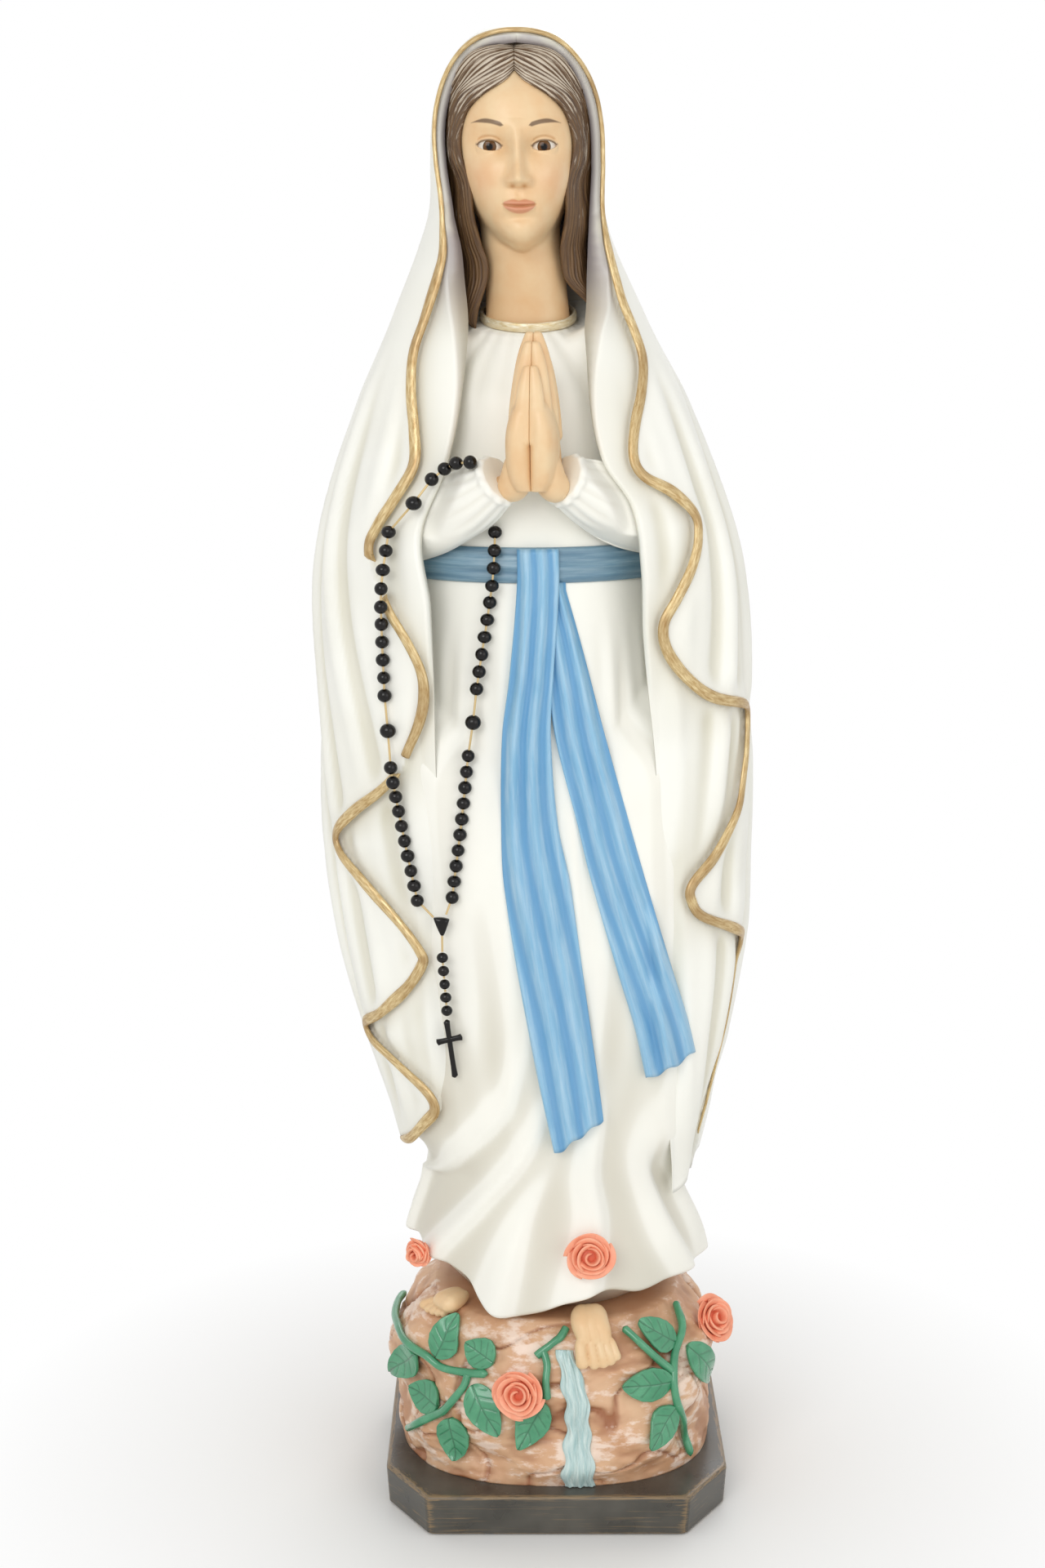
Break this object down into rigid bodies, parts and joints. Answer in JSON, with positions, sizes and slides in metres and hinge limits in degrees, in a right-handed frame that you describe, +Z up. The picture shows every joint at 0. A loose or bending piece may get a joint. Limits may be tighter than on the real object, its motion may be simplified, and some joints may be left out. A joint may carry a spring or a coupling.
{
  "type": "devotional statue",
  "caption": "Standing praying figure in a white veiled mantle with gilt edging, blue sash and rosary, on a rock with roses and a cut-corner plinth.",
  "frame": {"origin": "middle of the felt face that the statue stands on", "axes": "+Z up, the figure faces -Y, +X to the viewer's right"},
  "size_m": [0.1805, 0.1452, 0.61],
  "materials": {
    "felt": "thick green felt",
    "plinth": "dark paint with gold brushed over the edges",
    "steel": "plain steel",
    "rock": "painted casting, pale brushed highlights",
    "water": "pale blue streaked paint",
    "skin": "satin flesh paint",
    "stem": "gloss green paint",
    "leaf": "gloss green paint",
    "rose": "coral paint",
    "beech": "plain dowel",
    "gown": "off-white satin paint",
    "gilt": "bronze-gold paint",
    "eye": "set glass eye",
    "hair": "brown paint with pale streaks",
    "mantle": "off-white satin paint",
    "sash": "light blue paint with pale brushed streaks",
    "bead": "gloss black paint"
  },
  "bodies": {
    "root": {"felt_pad": "felt", "plinth": "plinth", "base_screws": "steel", "rock_mound": "rock", "stream": "water", "foot_front": "skin", "foot_side": "skin", "vine_left": "stem", "vine_centre": "stem", "vine_right": "stem", "leaves_left": "leaf", "leaves_right": "leaf", "rose_front": "rose", "rose_hem": "rose", "rose_left": "rose", "rose_right": "rose", "figure_dowels": "beech", "gown_skirt": "gown", "waist_dowel": "beech", "gown_bodice": "gown", "collar": "gilt", "sleeve_left": "gown", "sleeve_right": "gown", "wrist_dowels": "beech", "hand_left": "skin", "hand_right": "skin", "neck_dowel": "beech", "head": "skin", "eye_left": "eye", "eye_right": "eye", "hair_left": "hair", "hair_right": "hair", "mantle": "mantle", "mantle_trim": "gilt", "sash_belt": "sash", "sash_tail_long": "sash", "sash_tail_short": "sash", "rosary_beads": "bead", "rosary_large_beads": "bead", "rosary_chain": "gilt", "rosary_centre": "bead", "crucifix": "bead"}
  },
  "joints": []
}
